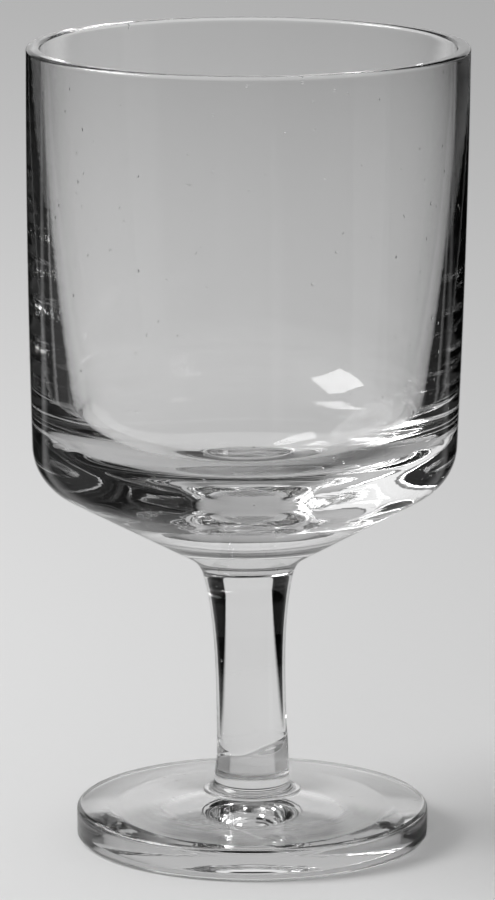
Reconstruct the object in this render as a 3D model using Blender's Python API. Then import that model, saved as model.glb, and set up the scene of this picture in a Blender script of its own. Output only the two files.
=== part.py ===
"""White wine glass in clear glass: a straight bowl on a thick base, a waisted stem and a flat foot.

The glass is made of three gathers. The bowl is blown, the stem is drawn from a gather set on the bowl's
base, and the foot is spread from a gather set on the stem's end. Each piece is a turned solid with its
own origin on the weld seam below it, and the pieces are stacked on one upright axis.
"""

import math

import bmesh
import bpy
from mathutils import Vector
from mathutils.geometry import interpolate_bezier

# Heights of the three pieces, from seam to seam, in metres
FOOT_HEIGHT = 0.0150
STEM_LENGTH = 0.0274
BOWL_HEIGHT = 0.0853
WELD_GAP = 0.0003

# Bowl, outside
RIM_RADIUS = 0.0350
WALL_FLARE = math.radians(2.0)
SHOULDER_ROUND = 0.0085
CONE_RISE = math.radians(28.9)
NECK_ROUND = 0.0048

# Bowl, inside
RIM_WALL = 0.0022
LIP_ROUND = 0.0006
HEEL_WALL = 0.0051
WALL_GROWTH = 1.9
BASE_THICKNESS = 0.0165
HEEL_RISE = 0.0155
BOTTOM_SQUARENESS = 2.85
NUB_DOME = 0.0015

# Stem
STEM_HEAD_RADIUS = 0.0072
STEM_WAIST_RADIUS = 0.0056
STEM_WAIST_HEIGHT = 0.0070
STEM_END_RADIUS = 0.0057
STEM_END_DOME = 0.0035

# Foot
FOOT_RADIUS = 0.0283
FOOT_EDGE = 0.0052
FOOT_EDGE_ROUND = 0.0008
FOOT_CROWN = 0.0074
POST_ROOT_RADIUS = 0.0061
COLLAR_RADIUS = 0.0079
COLLAR_HEIGHT = 0.0004
COLLAR_ROUND = 0.0003
STANDING_RING = 0.0060
HOLLOW_DEPTH = 0.0008

# Facets: round the axis, along a long curve, along a rounding, and along a small rounding
SEGMENTS = 56
CURVE_POINTS = 13
ROUND_POINTS = 6
SMALL_POINTS = 4
CREASE_ANGLE = math.radians(40.0)
MERGE_DISTANCE = 1e-7

# Clear glass
GLASS_COLOUR = (0.93, 0.95, 0.95, 1.0)
GLASS_ROUGHNESS = 0.02
GLASS_INDEX = 1.52


def spread(start, end, points):
    """Evenly spaced values from start to end, both kept."""
    return [start + (end - start) * (i / (points - 1)) for i in range(points)]


def arc(centre, radius, start, end, points):
    """Points (r, z) on a circle, from one angle to another, both kept."""
    angles = spread(start, end, points)
    return [(centre[0] + radius * math.cos(a), centre[1] + radius * math.sin(a)) for a in angles]


def dome(edge_radius, edge_height, sag, points):
    """A round weld face that hangs below its edge, from the edge in to the axis."""
    radius = (edge_radius**2 + sag**2) / (2 * sag)
    centre = (0.0, edge_height + radius - sag)
    half_angle = math.asin(edge_radius / radius)
    face = arc(centre, radius, half_angle - math.pi / 2, -math.pi / 2, points)
    return face[:-1] + [(0.0, edge_height - sag)]


def lip_height():
    """Where the bowl's wall ends and the lip's rounded edges begin, above the bowl's seam."""
    return BOWL_HEIGHT - LIP_ROUND


def heel_height():
    """Where the inner wall ends and the cavity's round bottom begins, above the bowl's seam."""
    return BASE_THICKNESS + HEEL_RISE


def bowl_neck():
    """The rounded inside corner from the stem's flare to the bowl's cone, upwards."""
    flare = 3 * (STEM_HEAD_RADIUS - STEM_WAIST_RADIUS) / (STEM_LENGTH - STEM_WAIST_HEIGHT)
    lean = math.atan(flare)
    centre = (STEM_HEAD_RADIUS + NECK_ROUND * math.cos(lean), -NECK_ROUND * math.sin(lean))
    return arc(centre, NECK_ROUND, math.pi - lean, math.pi / 2 + CONE_RISE, ROUND_POINTS)


def bowl_shoulder():
    """The rounding between cone and wall, upwards, tangent to both.

    The wall leaves it at the flare angle and bends to upright at the lip, so on its way up it moves out by
    half of what a straight wall would. That and the cone's line fix the rounding's centre.
    """
    cone_r, cone_z = bowl_neck()[-1]
    climb = math.tan(CONE_RISE)
    reach = math.tan(WALL_FLARE) / 2
    tangent_r = SHOULDER_ROUND * math.sin(CONE_RISE)
    tangent_z = SHOULDER_ROUND * math.cos(CONE_RISE)
    rise = cone_z + tangent_z + (tangent_r - cone_r) * climb
    span = lip_height() + SHOULDER_ROUND * math.sin(WALL_FLARE) - rise
    wall_r = RIM_RADIUS - SHOULDER_ROUND * math.cos(WALL_FLARE)
    centre_r = (wall_r - reach * span) / (1 - reach * climb)
    centre = (centre_r, rise + centre_r * climb)
    return arc(centre, SHOULDER_ROUND, CONE_RISE - math.pi / 2, -WALL_FLARE, ROUND_POINTS)


def wall_radius(height):
    """Outer radius of the bowl's wall: it starts at the shoulder's end and is upright at the lip."""
    foot_r, foot_z = bowl_shoulder()[-1]
    up = (height - foot_z) / (lip_height() - foot_z)
    return foot_r + (RIM_RADIUS - foot_r) * (2 * up - up**2)


def cavity_radius(height):
    """Inner radius of the bowl's wall, which grows thicker from the lip down to the heel and on below it."""
    down = (lip_height() - height) / (lip_height() - heel_height())
    return wall_radius(height) - RIM_WALL - (HEEL_WALL - RIM_WALL) * down**WALL_GROWTH


def cavity_bottom():
    """The cavity's bottom from the middle of its floor out to the heel: between a round and a square one."""
    power = 2 / BOTTOM_SQUARENESS
    bottom = []
    for turn in spread(0.0, math.pi / 2, CURVE_POINTS):
        z = heel_height() - HEEL_RISE * math.cos(turn) ** power
        bottom.append((cavity_radius(z) * math.sin(turn) ** power, z))
    return bottom


def bowl_outline():
    """The bowl's half section: cavity bottom, inner wall, lip, outer wall, shoulder, neck and weld nub."""
    shoulder = bowl_shoulder()
    inner = [(cavity_radius(z), z) for z in spread(heel_height(), lip_height(), CURVE_POINTS)[1:-1]]
    inner_edge = (RIM_RADIUS - RIM_WALL + LIP_ROUND, lip_height())
    outer_edge = (RIM_RADIUS - LIP_ROUND, lip_height())
    lip = arc(inner_edge, LIP_ROUND, math.pi, math.pi / 2, SMALL_POINTS)
    lip += arc(outer_edge, LIP_ROUND, math.pi / 2, 0.0, SMALL_POINTS)
    outer = [(wall_radius(z), z) for z in spread(lip_height(), shoulder[-1][1], CURVE_POINTS)[1:-1]]
    nub = dome(STEM_HEAD_RADIUS, 0.0, NUB_DOME, SMALL_POINTS)
    return cavity_bottom() + inner + lip + outer + shoulder[::-1] + bowl_neck()[:0:-1] + nub


def stem_radius(height):
    """Radius above the stem's lower seam: a slow swell down to the foot and a quick flare up to the bowl."""
    if height < STEM_WAIST_HEIGHT:
        down = 1 - height / STEM_WAIST_HEIGHT
        return STEM_WAIST_RADIUS + (STEM_END_RADIUS - STEM_WAIST_RADIUS) * down**2
    up = (height - STEM_WAIST_HEIGHT) / (STEM_LENGTH - STEM_WAIST_HEIGHT)
    return STEM_WAIST_RADIUS + (STEM_HEAD_RADIUS - STEM_WAIST_RADIUS) * up**3


def stem_outline():
    """The stem's half section: the cup under the bowl's nub, the waisted side and the round end."""
    cup = dome(STEM_HEAD_RADIUS, STEM_LENGTH, NUB_DOME, SMALL_POINTS)
    side = [(stem_radius(z), z) for z in spread(STEM_LENGTH, 0.0, CURVE_POINTS)[1:-1]]
    end = dome(STEM_END_RADIUS, 0.0, STEM_END_DOME, ROUND_POINTS)
    return cup[::-1] + side + end


def foot_post():
    """The post's side, from its straight part down and out to the collar's upper edge."""
    collar_top = FOOT_CROWN + COLLAR_HEIGHT
    shelf = COLLAR_RADIUS - COLLAR_ROUND
    width = shelf - POST_ROOT_RADIUS
    curve = (
        (POST_ROOT_RADIUS, collar_top + width),
        (POST_ROOT_RADIUS, collar_top + width / 2),
        (shelf - width / 2, collar_top),
        (shelf, collar_top),
    )
    knots = [Vector((r, z, 0.0)) for r, z in curve]
    return [(point.x, point.y) for point in interpolate_bezier(*knots, ROUND_POINTS)]


def foot_outline():
    """The foot's half section: the cup round the stem's end, post, collar, crowned top, edge and hollow."""
    cup = dome(STEM_END_RADIUS, FOOT_HEIGHT, STEM_END_DOME, ROUND_POINTS)
    bead_centre = (COLLAR_RADIUS - COLLAR_ROUND, FOOT_CROWN + COLLAR_HEIGHT - COLLAR_ROUND)
    bead = arc(bead_centre, COLLAR_ROUND, math.pi / 2, 0.0, SMALL_POINTS)
    edge_r = FOOT_RADIUS - FOOT_EDGE_ROUND
    upper = arc((edge_r, FOOT_EDGE - FOOT_EDGE_ROUND), FOOT_EDGE_ROUND, math.pi / 2, 0.0, SMALL_POINTS)
    lower = arc((edge_r, FOOT_EDGE_ROUND), FOOT_EDGE_ROUND, 0.0, -math.pi / 2, SMALL_POINTS)
    hollow_r = edge_r - STANDING_RING
    hollow = [(r, HOLLOW_DEPTH * (1 - (r / hollow_r) ** 2)) for r in spread(hollow_r, 0.0, ROUND_POINTS)]
    return cup[::-1] + foot_post() + bead[1:] + [(COLLAR_RADIUS, FOOT_CROWN)] + upper + lower + hollow


def clear_glass(name):
    """Clear glass for one piece."""
    material = bpy.data.materials.new(name)
    material.use_nodes = True
    shader = material.node_tree.nodes["Principled BSDF"]
    shader.inputs["Base Color"].default_value = GLASS_COLOUR
    shader.inputs["Roughness"].default_value = GLASS_ROUGHNESS
    shader.inputs["Metallic"].default_value = 0.0
    shader.inputs["IOR"].default_value = GLASS_INDEX
    shader.inputs["Transmission Weight"].default_value = 1.0
    return material


def turned(name, outline, height, parent):
    """A half section turned once round the upright axis, placed with its own origin at the given height."""
    form = bmesh.new()
    points = [form.verts.new((r, 0.0, z)) for r, z in outline]
    lines = [form.edges.new(pair) for pair in zip(points, points[1:])]
    bmesh.ops.spin(
        form,
        geom=points + lines,
        axis=(0.0, 0.0, 1.0),
        cent=(0.0, 0.0, 0.0),
        angle=math.tau,
        steps=SEGMENTS,
        use_merge=True,
    )
    bmesh.ops.remove_doubles(form, verts=form.verts, dist=MERGE_DISTANCE)
    bmesh.ops.recalc_face_normals(form, faces=form.faces)
    mesh = bpy.data.meshes.new(name)
    form.to_mesh(mesh)
    form.free()
    mesh.shade_smooth()
    mesh.set_sharp_from_angle(angle=CREASE_ANGLE)
    mesh.materials.append(clear_glass(name + "_glass"))
    piece = bpy.data.objects.new(name, mesh)
    piece.location = (0.0, 0.0, height)
    piece.parent = parent
    bpy.context.scene.collection.objects.link(piece)


def build():
    """The three pieces on one axis, a weld gap apart, standing on the foot."""
    for old in list(bpy.data.objects):
        bpy.data.objects.remove(old)
    goblet = bpy.data.objects.new("goblet", None)
    bpy.context.scene.collection.objects.link(goblet)
    stem_base = FOOT_HEIGHT + WELD_GAP
    bowl_base = stem_base + STEM_LENGTH + WELD_GAP
    turned("foot", foot_outline(), 0.0, goblet)
    turned("stem", stem_outline(), stem_base, goblet)
    turned("bowl", bowl_outline(), bowl_base, goblet)


build()
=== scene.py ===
import math
from collections import namedtuple

import bpy
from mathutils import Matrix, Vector


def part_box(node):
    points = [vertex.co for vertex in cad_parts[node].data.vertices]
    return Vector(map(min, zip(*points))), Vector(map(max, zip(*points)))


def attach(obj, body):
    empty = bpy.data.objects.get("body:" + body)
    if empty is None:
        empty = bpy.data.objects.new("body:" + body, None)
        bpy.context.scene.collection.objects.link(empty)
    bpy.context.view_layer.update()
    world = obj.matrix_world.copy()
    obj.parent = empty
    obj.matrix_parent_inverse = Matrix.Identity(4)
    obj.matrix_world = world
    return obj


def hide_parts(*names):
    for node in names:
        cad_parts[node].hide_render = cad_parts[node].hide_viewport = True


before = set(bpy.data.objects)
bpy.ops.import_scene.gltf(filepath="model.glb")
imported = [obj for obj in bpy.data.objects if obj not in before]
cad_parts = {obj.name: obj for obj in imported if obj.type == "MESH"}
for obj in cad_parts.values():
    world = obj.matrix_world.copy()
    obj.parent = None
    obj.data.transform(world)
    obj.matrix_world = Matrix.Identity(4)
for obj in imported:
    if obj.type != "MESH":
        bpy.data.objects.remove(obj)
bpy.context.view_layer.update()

# Sizes taken from the frame, in metres
bowl_low, bowl_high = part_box("bowl")
stem_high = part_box("stem")[1]
foot_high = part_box("foot")[1]
RIM_RADIUS = bowl_high.x
FOOT_RADIUS = foot_high.x

# Where the pieces meet: the weld faces hang below their edges
NUB_DOME = 0.0015
STEM_END_DOME = 0.0035
BOWL_SEAM = bowl_low.z + NUB_DOME
FOOT_SEAM = foot_high.z
BOWL_HEIGHT = bowl_high.z - BOWL_SEAM
STEM_LENGTH = BOWL_SEAM - FOOT_SEAM

# Bowl
WALL_FLARE = math.radians(2.0)
SHOULDER_ROUND = 0.0085
CONE_RISE = math.radians(28.9)
NECK_ROUND = 0.0048
RIM_WALL = 0.0022
LIP_ROUND = 0.0006
HEEL_WALL = 0.0051
WALL_GROWTH = 1.9
BASE_THICKNESS = 0.0165
HEEL_RISE = 0.0155
BOTTOM_SQUARENESS = 2.85
LIP_HEIGHT = BOWL_HEIGHT - LIP_ROUND
HEEL_HEIGHT = BASE_THICKNESS + HEEL_RISE

# The cavity is a little off the axis, to the right in the photo, less and less so towards the lip
CAVITY_SHIFT = 0.0003
TRUE_REACH = 0.0120

# The stem leans a little to the left going up, and the bowl sits off it and leans back
STEM_LEAN = -0.00065
BOWL_LEAN = -0.00125
RIM_LEAN = -0.0006

# Stem
STEM_HEAD_RADIUS = stem_high.x
STEM_WAIST_RADIUS = 0.0056
STEM_WAIST_HEIGHT = 0.0070
STEM_END_RADIUS = 0.0057
FLARE_POWER = 3

# Foot
FOOT_EDGE = 0.0052
FOOT_EDGE_ROUND = 0.0008
FOOT_CROWN = 0.0074
POST_ROOT_RADIUS = 0.0061
COLLAR_RADIUS = 0.0079
COLLAR_HEIGHT = 0.0004
COLLAR_ROUND = 0.0003
STANDING_RING = 0.0060
HOLLOW_DEPTH = 0.0008

# The lower weld is slanted and wavy, as the gather was pressed on by hand, with a faint groove
SEAM_SLANT = 0.0017
SEAM_RIPPLE = 0.00018
RIPPLES = 5
RIPPLE_PHASE = 1.0
SEAM_REACH = 0.0040
GROOVE_DEPTH = 0.00010
GROOVE_WIDTH = 0.00022
GROOVE_REACH = 4 * GROOVE_WIDTH

# Fineness of the meshes
SEGMENTS = 192
WALL_POINTS = 110
CURVE_POINTS = 44
ROUND_POINTS = 14
SMALL_POINTS = 8
STEP_GROWTH = 2
STEP_SLACK = 1.5
CREASE = math.radians(40)

# A run is a stretch of a piece's outline: its points (r, z), its material slot and whether it is the cavity
SKIN = 0
WELD = 1
Run = namedtuple("Run", "points slot inside", defaults=(False,))


def spread(start, end, points):
    """Evenly spaced values from start to end, both kept."""
    return [start + (end - start) * (i / (points - 1)) for i in range(points)]


def arc(centre, radius, start, end, points):
    """Points (r, z) on a circle, from one angle to another, both kept."""
    angles = spread(start, end, points)
    return [(centre[0] + radius * math.cos(a), centre[1] + radius * math.sin(a)) for a in angles]


def line(start, end, points):
    """Points (r, z) on a straight line, both ends kept."""
    return list(zip(spread(start[0], end[0], points), spread(start[1], end[1], points)))


def bezier(a, b, c, d, points):
    """Points (r, z) on a cubic curve from a to d."""
    curve = []
    for t in spread(0.0, 1.0, points):
        s = 1 - t
        weights = (s**3, 3 * s * s * t, 3 * s * t * t, t**3)
        curve.append(tuple(sum(w * p[i] for w, p in zip(weights, (a, b, c, d))) for i in (0, 1)))
    return curve


def dome(edge_radius, edge_height, sag, points):
    """A round weld face that hangs below its edge, from the edge in to the axis."""
    radius = (edge_radius**2 + sag**2) / (2 * sag)
    centre = (0.0, edge_height + radius - sag)
    half_angle = math.asin(edge_radius / radius)
    face = arc(centre, radius, half_angle - math.pi / 2, -math.pi / 2, points)
    return face[:-1] + [(0.0, edge_height - sag)]


def lifted(points, height):
    return [(r, z + height) for r, z in points]


def bowl_neck():
    """The rounded inside corner from the stem's flare to the bowl's cone, upwards."""
    growth = FLARE_POWER * (STEM_HEAD_RADIUS - STEM_WAIST_RADIUS)
    flare = math.atan(growth / (STEM_LENGTH - STEM_WAIST_HEIGHT))
    centre = (STEM_HEAD_RADIUS + NECK_ROUND * math.cos(flare), -NECK_ROUND * math.sin(flare))
    return arc(centre, NECK_ROUND, math.pi - flare, math.pi / 2 + CONE_RISE, ROUND_POINTS)


def bowl_shoulder():
    """The rounding between cone and wall, upwards, tangent to both."""
    cone_r, cone_z = bowl_neck()[-1]
    climb = math.tan(CONE_RISE)
    reach = math.tan(WALL_FLARE) / 2
    rise = cone_z + SHOULDER_ROUND * math.cos(CONE_RISE)
    rise += (SHOULDER_ROUND * math.sin(CONE_RISE) - cone_r) * climb
    span = LIP_HEIGHT + SHOULDER_ROUND * math.sin(WALL_FLARE) - rise
    wall_r = RIM_RADIUS - SHOULDER_ROUND * math.cos(WALL_FLARE)
    centre_r = (wall_r - reach * span) / (1 - reach * climb)
    centre = (centre_r, rise + centre_r * climb)
    return arc(centre, SHOULDER_ROUND, CONE_RISE - math.pi / 2, -WALL_FLARE, ROUND_POINTS)


def wall_radius(height, wall_foot):
    """The wall's outside, which flares from its foot and is upright at the lip."""
    foot_r, foot_z = wall_foot
    up = (height - foot_z) / (LIP_HEIGHT - foot_z)
    return foot_r + (RIM_RADIUS - foot_r) * (2 * up - up**2)


def cavity_radius(height, wall_foot):
    """The wall's inside: the wall grows thicker from the lip down."""
    down = (LIP_HEIGHT - height) / (LIP_HEIGHT - HEEL_HEIGHT)
    wall = RIM_WALL + (HEEL_WALL - RIM_WALL) * max(down, 0.0) ** WALL_GROWTH
    return wall_radius(height, wall_foot) - wall


def cavity_outline():
    """The bowl's inside, from the middle of its floor up to the lip."""
    wall_foot = bowl_shoulder()[-1]
    power = 2 / BOTTOM_SQUARENESS
    bottom = []
    for turn in spread(0.0, math.pi / 2, CURVE_POINTS):
        z = HEEL_HEIGHT - HEEL_RISE * math.cos(turn) ** power
        bottom.append((cavity_radius(z, wall_foot) * math.sin(turn) ** power, z))
    heights = spread(HEEL_HEIGHT, LIP_HEIGHT, WALL_POINTS)
    return bottom + [(cavity_radius(z, wall_foot), z) for z in heights[1:]]


def bowl_outside():
    """The bowl's lip and outside, from the cavity's edge down to the weld seam."""
    neck = bowl_neck()
    shoulder = bowl_shoulder()
    wall_foot = shoulder[-1]
    inner_edge = (RIM_RADIUS - RIM_WALL + LIP_ROUND, LIP_HEIGHT)
    outer_edge = (RIM_RADIUS - LIP_ROUND, LIP_HEIGHT)
    lip = arc(inner_edge, LIP_ROUND, math.pi, math.pi / 2, ROUND_POINTS)
    lip += arc(outer_edge, LIP_ROUND, math.pi / 2, 0.0, ROUND_POINTS)
    heights = spread(LIP_HEIGHT, wall_foot[1], WALL_POINTS)[1:-1]
    wall = [(wall_radius(z, wall_foot), z) for z in heights]
    cone = line(shoulder[0], neck[-1], CURVE_POINTS)[1:-1]
    return lip + wall + shoulder[::-1] + cone + neck[::-1]


def stem_radius(height):
    """The stem swells slowly below its waist and flares quickly above it."""
    if height < STEM_WAIST_HEIGHT:
        down = 1 - height / STEM_WAIST_HEIGHT
        return STEM_WAIST_RADIUS + (STEM_END_RADIUS - STEM_WAIST_RADIUS) * down**2
    up = (height - STEM_WAIST_HEIGHT) / (STEM_LENGTH - STEM_WAIST_HEIGHT)
    return STEM_WAIST_RADIUS + (STEM_HEAD_RADIUS - STEM_WAIST_RADIUS) * up**FLARE_POWER


def stem_side():
    """The stem's outside, from the bowl's seam down to the foot's seam."""
    heights = spread(STEM_LENGTH, GROOVE_REACH, 2 * CURVE_POINTS)
    heights += spread(GROOVE_REACH, 0.0, ROUND_POINTS)[1:]
    return [(stem_radius(z), z + FOOT_SEAM) for z in heights]


def foot_side():
    """The foot's outside from its weld seam down, out to the edge and in under the foot."""
    collar_top = FOOT_CROWN + COLLAR_HEIGHT
    shelf = COLLAR_RADIUS - COLLAR_ROUND
    width = shelf - POST_ROOT_RADIUS
    root = (POST_ROOT_RADIUS, collar_top + width)
    slope = (POST_ROOT_RADIUS - STEM_END_RADIUS) / (FOOT_SEAM - root[1])
    drops = spread(0.0, GROOVE_REACH, ROUND_POINTS)
    drops += spread(GROOVE_REACH, FOOT_SEAM - root[1], ROUND_POINTS)[1:]
    post = [(STEM_END_RADIUS + slope * d, FOOT_SEAM - d) for d in drops]
    bend_in = (POST_ROOT_RADIUS, collar_top + width / 2)
    bend_out = (shelf - width / 2, collar_top)
    sweep = bezier(root, bend_in, bend_out, (shelf, collar_top), ROUND_POINTS)
    bead = arc((shelf, collar_top - COLLAR_ROUND), COLLAR_ROUND, math.pi / 2, 0.0, SMALL_POINTS)
    edge_r = FOOT_RADIUS - FOOT_EDGE_ROUND
    crown = line((COLLAR_RADIUS, FOOT_CROWN), (edge_r, FOOT_EDGE), CURVE_POINTS)
    upper = arc((edge_r, FOOT_EDGE - FOOT_EDGE_ROUND), FOOT_EDGE_ROUND, math.pi / 2, 0.0, SMALL_POINTS)
    lower = arc((edge_r, FOOT_EDGE_ROUND), FOOT_EDGE_ROUND, 0.0, -math.pi / 2, SMALL_POINTS)
    hollow_r = edge_r - STANDING_RING
    radii = spread(hollow_r, 0.0, CURVE_POINTS)
    hollow = [(r, HOLLOW_DEPTH * (1 - (r / hollow_r) ** 2)) for r in radii]
    return post + sweep[1:] + bead[1:] + crown[:-1] + upper + lower + hollow


def groove(r, z, angle):
    """How deep the lower weld's groove is: it is deepest at the front and dies out at the back."""
    near = math.exp(-(((z - FOOT_SEAM) / GROOVE_WIDTH) ** 2))
    return GROOVE_DEPTH * near * (1 - math.sin(angle)) / 2 * min(r / STEM_END_RADIUS, 1.0)


def seam_lift(r, z, angle):
    """How far the lower weld's slant and wave raise a point near it."""
    near = max(0.0, 1 - abs(z - FOOT_SEAM) / SEAM_REACH)
    wave = SEAM_SLANT * math.cos(angle) + SEAM_RIPPLE * math.sin(RIPPLES * angle + RIPPLE_PHASE)
    return wave * near * near * (3 - 2 * near) * min(r / STEM_END_RADIUS, 1.0)


def lean(z):
    """How far the glass is off its upright axis at a height, to the right in the photo."""
    shoulder = BOWL_SEAM + bowl_shoulder()[0][1]
    if z < FOOT_SEAM:
        return 0.0
    if z < BOWL_SEAM:
        return STEM_LEAN * (z - FOOT_SEAM) / STEM_LENGTH
    if z < shoulder:
        return STEM_LEAN + (BOWL_LEAN - STEM_LEAN) * (z - BOWL_SEAM) / (shoulder - BOWL_SEAM)
    return BOWL_LEAN + (RIM_LEAN - BOWL_LEAN) * (z - shoulder) / (bowl_high.z - shoulder)


def cavity_offset(z):
    """How far the cavity is off the bowl's axis at a height."""
    down = max(BOWL_SEAM + LIP_HEIGHT - z, 0.0)
    return CAVITY_SHIFT * (1 - math.exp(-down / TRUE_REACH))


def graded(outline):
    """The outline with points added on long steps: from each end, the new steps double in length."""
    steps = list(zip(outline, outline[1:]))
    lengths = [math.dist(a, b) for a, b in steps]
    finer = [outline[0]]
    for i, (a, b) in enumerate(steps):
        before = lengths[i - 1] if i else lengths[i]
        after = lengths[i + 1] if i + 1 < len(lengths) else lengths[i]
        low = []
        high = []
        size_low = before * STEP_GROWTH
        size_high = after * STEP_GROWTH
        start = 0.0
        end = lengths[i]
        while end - start > STEP_SLACK * min(size_low, size_high):
            if size_low <= size_high:
                start += size_low
                low.append(start)
                size_low *= STEP_GROWTH
            else:
                end -= size_high
                high.append(end)
                size_high *= STEP_GROWTH
        for place in low + high[::-1] + [lengths[i]]:
            t = place / lengths[i]
            finer.append((a[0] + (b[0] - a[0]) * t, a[1] + (b[1] - a[1]) * t))
    finer[-1] = outline[-1]
    return finer


def ring_points(r, z, inside):
    """The points of one ring, or the one point on the axis, with the accidents of making."""
    shift = lean(z) + (cavity_offset(z) if inside else 0.0)
    points = []
    for k in range(SEGMENTS if r > 0.0 else 1):
        a = math.tau * k / SEGMENTS
        out = r - groove(r, z, a)
        points.append((out * math.cos(a) + shift, out * math.sin(a), z + seam_lift(r, z, a)))
    return points


def ring_faces(upper, lower):
    """Faces between two rings of vertex numbers, of which one may be a single point."""
    faces = []
    for k in range(SEGMENTS):
        q = (k + 1) % SEGMENTS
        down = (upper[k % len(upper)], lower[k % len(lower)])
        up = (lower[q % len(lower)], upper[q % len(upper)])
        faces.append(tuple(dict.fromkeys(down + up)))
    return faces


def placed(name, data):
    """A new object in the scene."""
    made = bpy.data.objects.new(name, data)
    bpy.context.scene.collection.objects.link(made)
    return made


def turned(name, runs):
    """A closed turned piece. Its runs follow each other from the axis to the axis, and each starts at the
    point where the last one ended."""
    verts = []
    faces = []
    slots = []
    last = None
    for run in runs:
        for r, z in graded(run.points) if last is None else graded(run.points)[1:]:
            points = ring_points(r, z, run.inside)
            ring = range(len(verts), len(verts) + len(points))
            verts += points
            if last is not None:
                faces += ring_faces(last, ring)
                slots += [run.slot] * SEGMENTS
            last = ring
    mesh = bpy.data.meshes.new(name)
    mesh.from_pydata(verts, [], faces)
    mesh.polygons.foreach_set("material_index", slots)
    mesh.shade_smooth()
    mesh.set_sharp_from_angle(angle=CREASE)
    return placed(name, mesh)


def node(tree, kind, **settings):
    made = tree.nodes.new("ShaderNode" + kind)
    for key, value in settings.items():
        setattr(made, key, value)
    return made


def feed(tree, socket, value):
    """Link a socket to another's output, or set it to a number or vector."""
    if isinstance(value, bpy.types.NodeSocket):
        tree.links.new(value, socket)
    else:
        socket.default_value = value


def calc(tree, operation, *values):
    """What a Math node makes of one, two or three values."""
    made = node(tree, "Math", operation=operation)
    for socket, value in zip(made.inputs, values):
        feed(tree, socket, value)
    return made.outputs[0]


def times(tree, first, *others):
    """The product of all values."""
    for other in others:
        first = calc(tree, "MULTIPLY", first, other)
    return first


def minus(tree, a, b):
    return calc(tree, "SUBTRACT", a, b)


def ramp(tree, value, low, high, to_low=0.0, to_high=1.0):
    """A smooth change from one number to another while the value goes from low to high."""
    made = node(tree, "MapRange", interpolation_type="SMOOTHSTEP")
    for socket, number in zip(made.inputs, (value, low, high, to_low, to_high)):
        feed(tree, socket, number)
    return made.outputs[0]


def fall(tree, value, low, high):
    """A smooth change from one to zero."""
    return ramp(tree, value, low, high, 1.0, 0.0)


def sided(tree, value, reach, below, above):
    """A smooth change from one tone to another on the two sides of zero."""
    return ramp(tree, value, -reach, reach, below, above)


def blend(tree, factor, a, b):
    """A number between a and b."""
    made = node(tree, "Mix")
    feed(tree, made.inputs[0], factor)
    feed(tree, made.inputs[2], a)
    feed(tree, made.inputs[3], b)
    return made.outputs[0]


def split(tree, vector):
    """A vector's x, y and z."""
    made = node(tree, "SeparateXYZ")
    feed(tree, made.inputs[0], vector)
    return made.outputs


def noise(tree, vector, scale, detail):
    made = node(tree, "TexNoise")
    feed(tree, made.inputs["Vector"], vector)
    feed(tree, made.inputs["Scale"], scale)
    feed(tree, made.inputs["Detail"], detail)
    return made.outputs["Fac"]


def material(name):
    made = bpy.data.materials.new(name)
    made.use_nodes = True
    return made


# The glass's skin: lines per metre along themselves, seeds per metre and their size in cells, smudges per
# metre and the stretch of noise over which they set in
CLEAR = (0.985, 0.985, 0.985, 1.0)
GLASS_IOR = 1.52
LINE_LENGTH = 45.0
LINE_DETAIL = 3.0
SEEDS = 220.0
SEED_SIZE = 0.06
SEED_DEPTH = 6e-5
SMUDGES = 60.0
SMUDGE_DETAIL = 4.0
SMUDGE_RANGE = (0.5, 0.8)
SMUDGED = 0.04


def making_lines(tree, coords, fineness, slant, rings):
    """Noise drawn out along the lines that making leaves: slanting ones, or rings about the axis."""
    x, y, z = split(tree, coords)
    across = calc(tree, "ADD", z, times(tree, x, slant))
    if rings:
        squares = calc(tree, "ADD", calc(tree, "POWER", x, 2.0), calc(tree, "POWER", y, 2.0))
        across = calc(tree, "SQRT", squares)
    place = node(tree, "CombineXYZ")
    for socket, value in zip(place.inputs, (x, y, times(tree, across, fineness))):
        feed(tree, socket, value)
    return noise(tree, place.outputs[0], LINE_LENGTH, LINE_DETAIL)


def glass(name, fineness, slant, depth, rings=False):
    """Clear glass with faint making lines, seeds under its skin and smudges from handling."""
    mat = material(name)
    tree = mat.node_tree
    shader = tree.nodes["Principled BSDF"]
    coords = node(tree, "TexCoord").outputs["Object"]
    lines = times(tree, making_lines(tree, coords, fineness, slant, rings), depth)
    cells = node(tree, "TexVoronoi")
    feed(tree, cells.inputs["Vector"], coords)
    feed(tree, cells.inputs["Scale"], SEEDS)
    seeds = ramp(tree, cells.outputs["Distance"], SEED_SIZE / 2, SEED_SIZE, SEED_DEPTH, 0.0)
    bump = node(tree, "Bump")
    feed(tree, bump.inputs["Distance"], 1.0)
    feed(tree, bump.inputs["Height"], minus(tree, lines, seeds))
    smudges = noise(tree, coords, SMUDGES, SMUDGE_DETAIL)
    feed(tree, shader.inputs["Base Color"], CLEAR)
    feed(tree, shader.inputs["Roughness"], ramp(tree, smudges, *SMUDGE_RANGE, 0.0, SMUDGED))
    feed(tree, shader.inputs["IOR"], GLASS_IOR)
    feed(tree, shader.inputs["Transmission Weight"], 1.0)
    feed(tree, shader.inputs["Normal"], bump.outputs["Normal"])
    return mat


def fused(name):
    """The weld faces inside the glass, which can't be seen."""
    mat = material(name)
    mat.node_tree.nodes["Principled BSDF"].inputs["Alpha"].default_value = 0.0
    return mat


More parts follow.
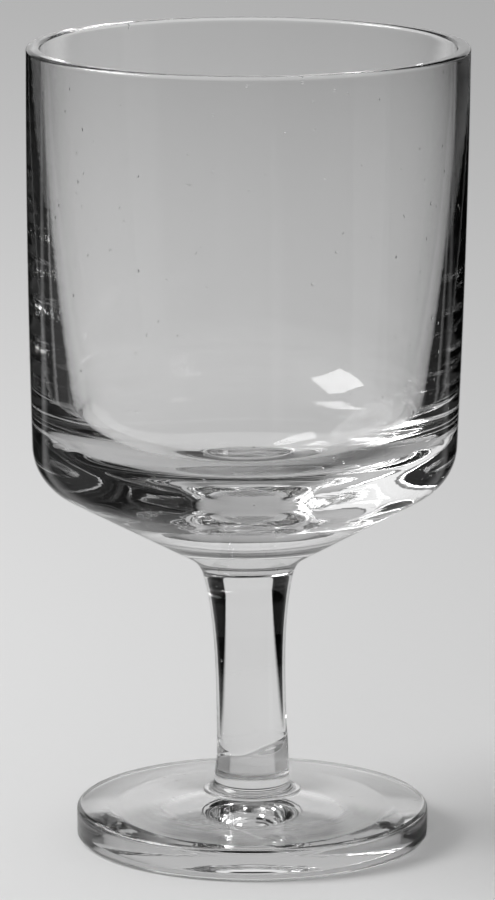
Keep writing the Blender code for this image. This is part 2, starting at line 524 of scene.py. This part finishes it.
# The three pieces
bowl_cap = dome(STEM_HEAD_RADIUS, BOWL_SEAM, NUB_DOME, ROUND_POINTS)
stem_cap = dome(STEM_END_RADIUS, FOOT_SEAM, STEM_END_DOME, ROUND_POINTS)
cavity = lifted(cavity_outline(), BOWL_SEAM)
outside = lifted(bowl_outside(), BOWL_SEAM)
bowl = turned("bowl_visual", [Run(cavity, SKIN, inside=True), Run(outside, SKIN), Run(bowl_cap, WELD)])
stem = turned("stem_visual", [Run(bowl_cap[::-1], WELD), Run(stem_side(), SKIN), Run(stem_cap, WELD)])
foot = turned("foot_visual", [Run(stem_cap[::-1], WELD), Run(foot_side(), SKIN)])

blown = glass("blown_glass", fineness=14.0, slant=0.12, depth=10e-6)
drawn = glass("drawn_glass", fineness=16.0, slant=0.04, depth=8e-6)
tooled = glass("tooled_glass", fineness=12.0, slant=0.0, depth=8e-6, rings=True)
weld = fused("weld_face")
for piece, name, skin in ((bowl, "bowl", blown), (stem, "stem", drawn), (foot, "foot", tooled)):
    piece.data.materials.append(skin)
    piece.data.materials.append(weld)
    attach(piece, "root")
    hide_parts(name)

# Surroundings. Glass shows what stands round it, so the floor and the sky have dim and pale zones that only
# rays which the glass has reflected or bent can see.
DIM_LEFT = 0.02
DIM_RIGHT = 0.006
DIM = (DIM_LEFT, DIM_RIGHT)
SKY_PALE = 0.65

# Counts of surfaces that a ray has met
FEW_BOUNCES = (2.0, 3.0)
MANY_BOUNCES = (4.0, 7.0)
MANY_LEFT = 0.06
IN_AND_OUT = 2.0
HALF_COUNT = 0.5

Ray = namedtuple("Ray", "path few reflected through straight kept")


def ray_facts(tree):
    """What is known of a ray: its path, whether it was reflected only once or twice, was reflected at all,
    has been in the glass, went straight in and out of it, and how much is left after many reflections."""
    path = node(tree, "LightPath").outputs
    count = path["Glossy Depth"]
    depth = path["Transmission Depth"]
    reflected = calc(tree, "MINIMUM", count, 1.0)
    few = times(tree, reflected, fall(tree, count, *FEW_BOUNCES))
    through = calc(tree, "MINIMUM", depth, 1.0)
    twice = calc(tree, "COMPARE", depth, IN_AND_OUT, HALF_COUNT)
    straight = times(tree, twice, minus(tree, 1.0, reflected))
    kept = ramp(tree, count, *MANY_BOUNCES, 1.0, MANY_LEFT)
    return Ray(path, few, reflected, through, straight, kept)


def sector(tree, across, along, start, inner, outer, soft):
    """A soft mask for what lies between two slopes, from a start beside the inner one."""
    past = ramp(tree, minus(tree, across, times(tree, along, inner)), start, start + soft)
    short = ramp(tree, minus(tree, times(tree, along, outer), across), 0.0, soft)
    return times(tree, past, short)


# Floor: its reach from the axis and its drop below the foot
FLOOR_REACH = 3.0
FLOOR_DROP = 0.0001

# Floor tones, on the left and on the right. The pale tone is painted shade: darker to the right, away from
# the lamp
PALE = (0.7904, 0.722)
REST = (0.08, 0.03)
SIDES = (0.06, 0.04)
PALE_REACH = 0.12
ZONE_REACH = 0.1

# Floor tones that are even: painted light under the foot, and painted pale reflections. Then the share of
# the pale tone kept for rays through the glass, near and far, which is painted shade
PAINTED_LIGHT_UNDER_FOOT = 0.88
PALE_REFLECTION_TONE = 0.45
THROUGH_PAINTED_SHADE = (0.93, 0.66)

# Floor zones, as sectors: a start, an inner and an outer slope and a soft edge
BAND_ZONE = (0.03, 0.14, 1.10, 0.05)
SIDE_ZONE = (-0.03, 1.10, 1.70, 0.02)
WEDGE_ZONE = (0.02, 0.43, 1.70, 0.02)
WIDE_PALE_REFLECTION = (0.0, 1.38, 4.3, 0.03)
SLIM_PALE_REFLECTION = (0.0, 0.18, 0.40, 0.03)

# Floor zones, as the stretch over which each sets in or dies out
THROUGH_REACH = (0.05, 0.40)
PAINTED_LIGHT_REACH = (0.0275, 0.030)
CLEAR_OUTSIDE = (0.03, 0.06)
CLEAR_INSIDE = (0.09, 0.15)
FAR_REACH = (0.03, 0.12)
STEM_BACK = (0.0085, 0.0125)
BEHIND = (-0.02, 0.02)
SIDE_IN_FRONT = 0.2
REST_SLOPE = 1.10
REST_SOFT = 0.06

Spot = namedtuple("Spot", "x y across along distance")


def floor_spot(tree):
    """Where on the floor a ray ends."""
    position = node(tree, "NewGeometry").outputs["Position"]
    x, y = split(tree, position)[:2]
    length = node(tree, "VectorMath", operation="LENGTH")
    feed(tree, length.inputs[0], position)
    return Spot(x, y, calc(tree, "ABSOLUTE", x), calc(tree, "ABSOLUTE", y), length.outputs["Value"])


def paper_painted_tone(tree, spot, ray):
    """The paper's tone, with painted shade: darker to the right and, through the glass, darker far off; and
    with painted light under the foot, which rays through the glass see brighter.
    """
    # Painted shade: through the glass the paper is darker further to the sides
    seen = ramp(tree, spot.across, *THROUGH_REACH, *THROUGH_PAINTED_SHADE)
    # Painted shade: the paper is darker to the right, away from the lamp
    shade = sided(tree, spot.x, PALE_REACH, *PALE)
    shade = times(tree, shade, blend(tree, ray.through, 1.0, seen))
    # Painted light: under the foot, rays through the glass see the paper brighter, as if lit through the
    # foot
    under = times(tree, ray.through, fall(tree, spot.distance, *PAINTED_LIGHT_REACH))
    return blend(tree, under, shade, PAINTED_LIGHT_UNDER_FOOT)


def add_zones(tree, shade, spot, ray, wedge):
    """The tone with its painted reflections: dim and pale zones for rays reflected once or twice, and dim
    wedges for rays through the stem.
    """
    outside = ramp(tree, spot.distance, *CLEAR_OUTSIDE)
    inside = ramp(tree, spot.distance, *CLEAR_INSIDE)
    away = times(tree, ray.few, blend(tree, ray.through, outside, inside))
    rest = ramp(tree, minus(tree, spot.across, times(tree, spot.y, REST_SLOPE)), 0.0, REST_SOFT)
    rest = times(tree, rest, away)
    front = times(tree, spot.y, -1.0)
    # Painted reflections: pale zones in front, for rays reflected once or twice
    wide = sector(tree, spot.x, front, *WIDE_PALE_REFLECTION)
    slim = sector(tree, spot.x, front, *SLIM_PALE_REFLECTION)
    pale_reflections = times(tree, calc(tree, "ADD", wide, slim), away)
    side = sector(tree, spot.across, spot.along, *SIDE_ZONE)
    side = times(tree, side, ramp(tree, spot.y, *BEHIND, SIDE_IN_FRONT, 1.0), away, ray.through)
    band = times(tree, sector(tree, spot.across, spot.along, *BAND_ZONE), away)
    shade = blend(tree, rest, shade, sided(tree, spot.x, ZONE_REACH, *REST))
    shade = blend(tree, pale_reflections, shade, PALE_REFLECTION_TONE)
    shade = blend(tree, side, shade, sided(tree, spot.x, ZONE_REACH, *SIDES))
    return blend(tree, calc(tree, "ADD", band, wedge), shade, sided(tree, spot.x, ZONE_REACH, *DIM))


def far_floor_glow(tree, spot, ray):
    """The mask of the floor's painted glow: where a ray straight through the stem sees the floor far off.
    Rays that leave the glass further back than the stem are left out."""
    whole = calc(tree, "POWER", ray.path["Ray Length"], 2.0)
    sideways = calc(tree, "POWER", spot.across, 2.0)
    start = minus(tree, spot.y, calc(tree, "SQRT", minus(tree, whole, sideways)))
    stem_only = minus(tree, 1.0, ramp(tree, start, *STEM_BACK))
    return times(tree, ray.straight, ramp(tree, spot.distance, *FAR_REACH), stem_only)


def floor_paper():
    """Pale paper with painted shade, light and reflections, and a painted glow that makes it, through the
    stem, as pale far off as the sky.
    """
    mat = material("floor_paper")
    tree = mat.node_tree
    spot = floor_spot(tree)
    ray = ray_facts(tree)
    wedge = times(tree, sector(tree, spot.across, spot.y, *WEDGE_ZONE), ray.straight)
    # Painted glow: the floor far off glows for rays straight through the stem
    far = far_floor_glow(tree, spot, ray)
    shade = add_zones(tree, paper_painted_tone(tree, spot, ray), spot, ray, wedge)
    shader = tree.nodes["Principled BSDF"]
    feed(tree, shader.inputs["Base Color"], times(tree, shade, minus(tree, ray.kept, far)))
    feed(tree, shader.inputs["Emission Color"], (1.0, 1.0, 1.0, 1.0))
    # The painted glow itself, kept out of the stem's dim wedges
    feed(tree, shader.inputs["Emission Strength"], times(tree, far, SKY_PALE, minus(tree, 1.0, wedge)))
    feed(tree, shader.inputs["Roughness"], 1.0)
    feed(tree, shader.inputs["Specular IOR Level"], 0.0)
    return mat


corners = [(-1, -1), (1, -1), (1, 1), (-1, 1)]
floor_points = [(x * FLOOR_REACH, y * FLOOR_REACH, -FLOOR_DROP) for x, y in corners]
floor_mesh = bpy.data.meshes.new("floor")
floor_mesh.from_pydata(floor_points, [], [(0, 1, 2, 3)])
floor_mesh.materials.append(floor_paper())
floor = placed("floor", floor_mesh)

# Sky tones
SKY = 0.5
SKY_SEEN = 0.43
SKY_BEHIND = 0.80
SKY_FRONT = 0.20
SKY_LEFT = 0.55
SKY_DEEP = 0.5
LOW_SIDES = (0.2, 0.05)
STREAK = (0.95, 0.22)

# Sky zones, in shares of a direction's length along x, y or z
SIDE_REACH = 0.2
END_REACH = 0.1
END_SLOPE = 0.5
END_SOFT = 0.08
LOW_SKY = (0.31, 0.38)
LEFT_SKY = (-0.7, -0.2)
SKY_WEDGE = (0.0, 0.43, 1.70, 0.04)
CORNER_LEFT = (0.30, 0.50)
CORNER_TOP = (0.45, 0.60)
STREAK_EDGE = (0.24, 0.29)
STREAK_TOP = (0.42, 0.50)
STREAK_RIGHT = (-0.65, -0.5)
BACK_SKY = (0.2, 0.5)


def near_sky(tree, x, y, z, dim):
    """The sky for rays reflected once or twice: dim, but pale low down behind and high up on the left."""
    across = calc(tree, "ABSOLUTE", x)
    along = calc(tree, "ABSOLUTE", y)
    beyond = ramp(tree, minus(tree, across, times(tree, along, END_SLOPE)), 0.0, END_SOFT)
    ends = sided(tree, y, END_REACH, SKY_FRONT, SKY_BEHIND)
    lower = blend(tree, beyond, ends, sided(tree, x, SIDE_REACH, *LOW_SIDES))
    upper = blend(tree, fall(tree, x, *LEFT_SKY), dim, SKY_LEFT)
    return blend(tree, ramp(tree, z, *LOW_SKY), lower, upper)


def deep_sky(tree, x, z):
    """The sky for rays reflected more often: even, with a dark corner right and a streak left, both low."""
    corner = times(tree, ramp(tree, x, *CORNER_LEFT), fall(tree, z, *CORNER_TOP))
    streak = ramp(tree, z, *STREAK_EDGE, *STREAK)
    streak = blend(tree, ramp(tree, z, *STREAK_TOP), streak, SKY_DEEP)
    deep = blend(tree, ramp(tree, x, *STREAK_RIGHT), streak, SKY_DEEP)
    return blend(tree, corner, deep, DIM_RIGHT)


def studio_sky():
    """Soft even light, with zones for the rays that the glass sends on."""
    world = bpy.data.worlds.new("studio")
    world.use_nodes = True
    tree = world.node_tree
    x, y, z = split(tree, node(tree, "TexCoord").outputs["Generated"])
    ray = ray_facts(tree)
    dim = sided(tree, x, SIDE_REACH, *DIM)
    wedge = times(tree, sector(tree, calc(tree, "ABSOLUTE", x), y, *SKY_WEDGE), ray.straight)
    direct = blend(tree, ray.path["Is Camera Ray"], SKY, SKY_SEEN)
    direct = blend(tree, ray.straight, direct, SKY_PALE)
    direct = blend(tree, wedge, direct, dim)
    mirrored = blend(tree, ray.few, deep_sky(tree, x, z), near_sky(tree, x, y, z, dim))
    kept = calc(tree, "MAXIMUM", ray.kept, ramp(tree, y, *BACK_SKY))
    shade = times(tree, blend(tree, ray.reflected, direct, mirrored), kept)
    feed(tree, tree.nodes["Background"].inputs["Color"], shade)
    return world


bpy.context.scene.world = studio_sky()

# Key lamp: a large soft one, high on the left
KEY_POWER = 5.2
KEY_WIDTH = 0.46
KEY_HEIGHT = 0.41
KEY_TURN = math.radians(-11)
KEY_PLACE = Vector((-0.65, -0.05, 0.60))
KEY_AIM = Vector((0.0, 0.0, 0.06))

lamp = bpy.data.lights.new("key", "AREA")
lamp.energy = KEY_POWER
lamp.shape = "RECTANGLE"
lamp.size = KEY_WIDTH
lamp.size_y = KEY_HEIGHT
key = placed("key", lamp)
key.location = KEY_PLACE
key.rotation_euler = (KEY_AIM - KEY_PLACE).to_track_quat("-Z", "Y").to_euler()
key.rotation_euler.rotate_axis("Z", KEY_TURN)

# Camera: lens and sensor in millimetres, place in metres, tilt downwards in radians
LENS = 225
SENSOR = 36
NEAREST = 0.01
CAMERA_PLACE = (-0.00075, -0.8778, 0.2497)
CAMERA_TILT = 0.20925

lens = bpy.data.cameras.new("camera")
lens.sensor_fit = "VERTICAL"
lens.sensor_height = SENSOR
lens.lens = LENS
lens.clip_start = NEAREST
camera = placed("camera", lens)
camera.location = CAMERA_PLACE
camera.rotation_euler = (math.pi / 2 - CAMERA_TILT, 0.0, 0.0)
bpy.context.scene.camera = camera

# Light paths long enough for solid glass
BOUNCES = 24

bpy.context.scene.view_settings.view_transform = "Standard"
bpy.context.scene.cycles.max_bounces = BOUNCES
bpy.context.scene.cycles.transmission_bounces = BOUNCES
bpy.context.scene.cycles.glossy_bounces = BOUNCES
